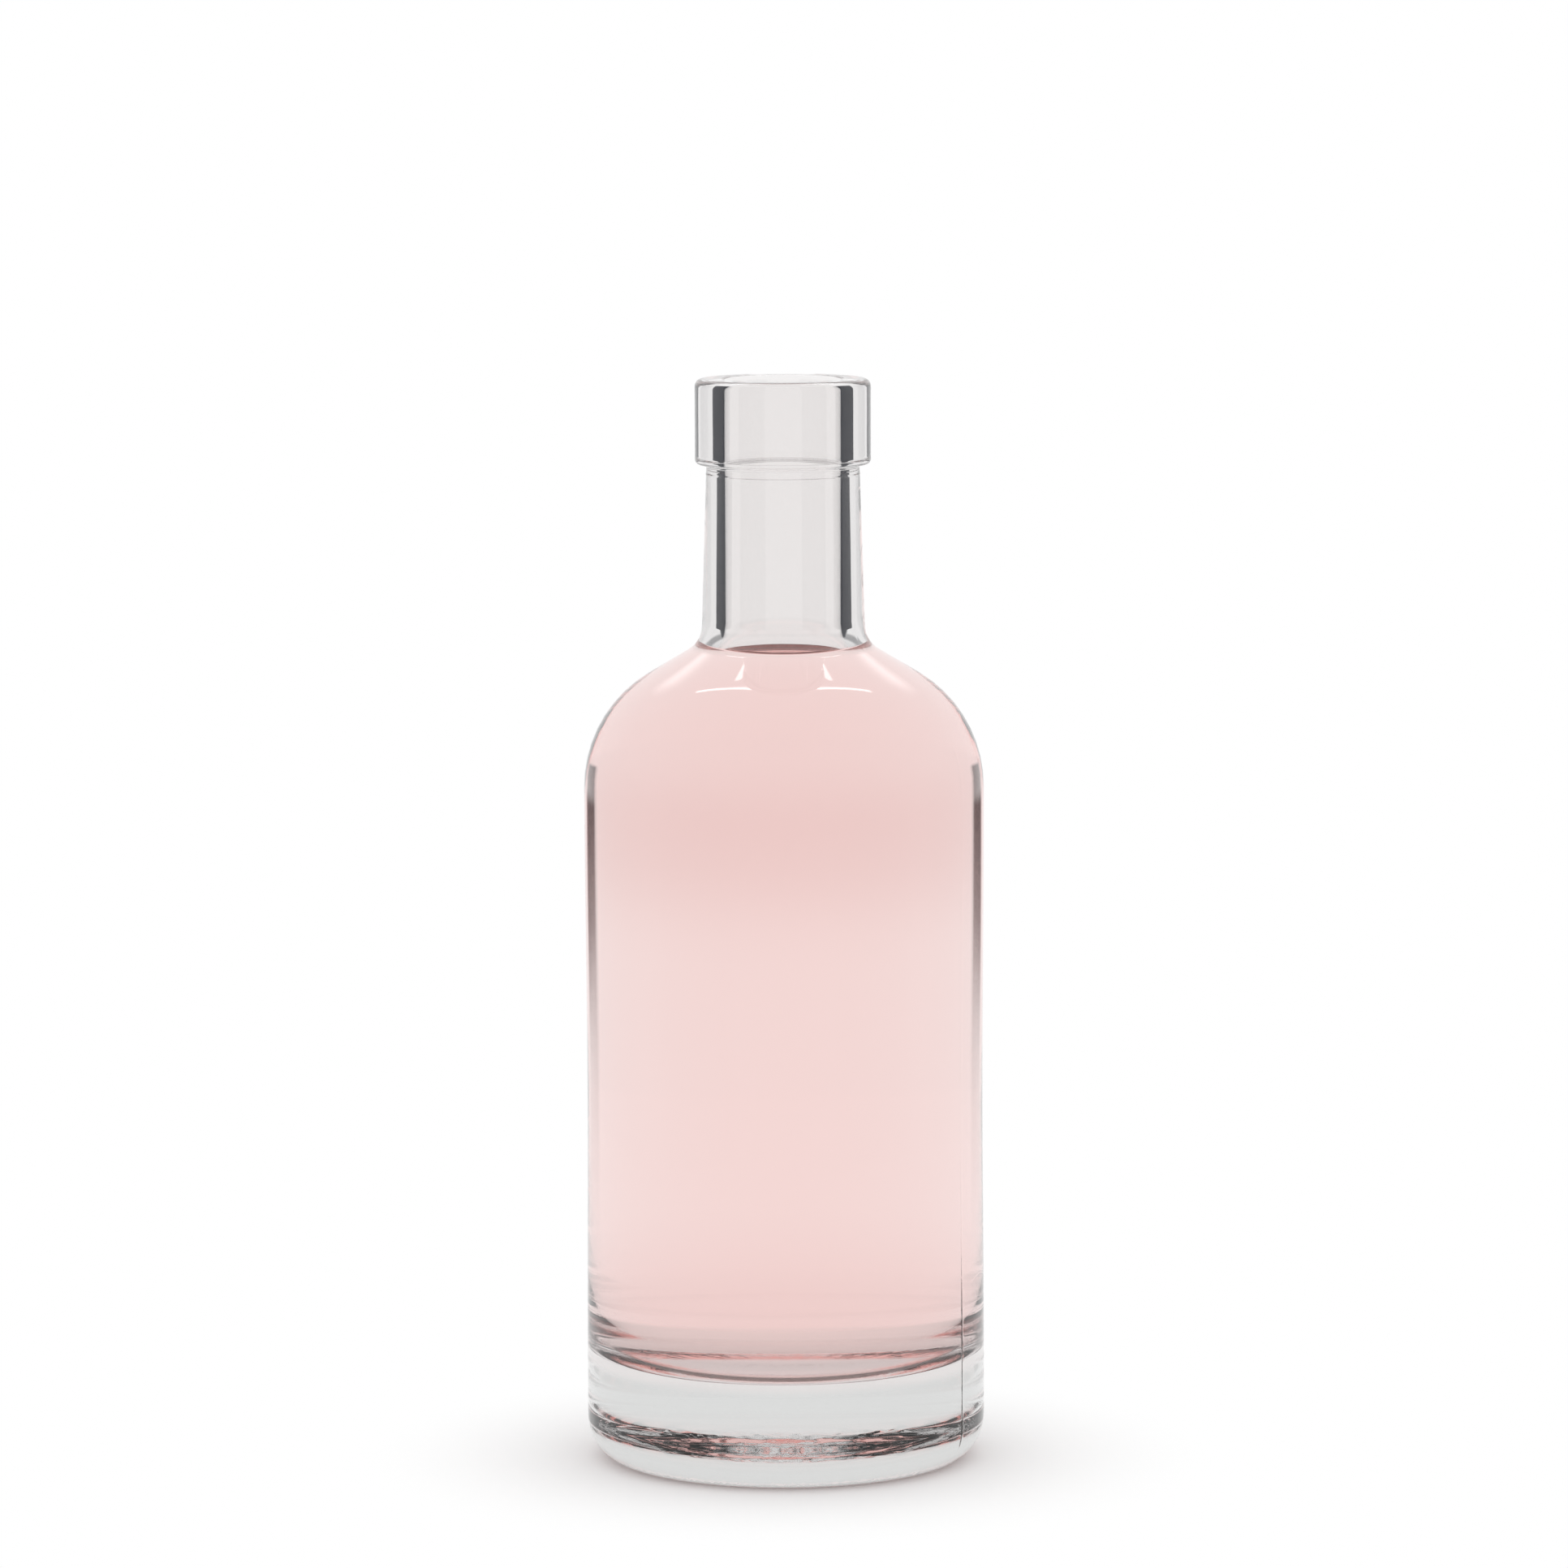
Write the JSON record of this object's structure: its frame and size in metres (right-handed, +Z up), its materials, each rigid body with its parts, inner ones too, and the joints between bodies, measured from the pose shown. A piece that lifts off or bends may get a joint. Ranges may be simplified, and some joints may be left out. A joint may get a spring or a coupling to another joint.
{
  "type": "glass bottle",
  "caption": "Round clear glass bottle with a thick base, rounded shoulder, short neck and plain band at the mouth, filled with pale pink liquid.",
  "frame": {"origin": "centre of the ring that the bottle stands on, on the table", "axes": "+Z up along the bottle's axis, from the standing ring to the mouth; the bottle is round, so +X and +Y are free, and the picture looks along +Y"},
  "size_m": [0.0688, 0.0688, 0.187],
  "materials": {
    "clear_glass": "fire-polished clear flint glass, faintly grey-green where it is thick",
    "pink_liquid": "clear pale pink liquid with a smooth surface"
  },
  "bodies": {
    "root": {"glass_bottle": "clear_glass", "pink_liquid": "pink_liquid"}
  },
  "joints": []
}
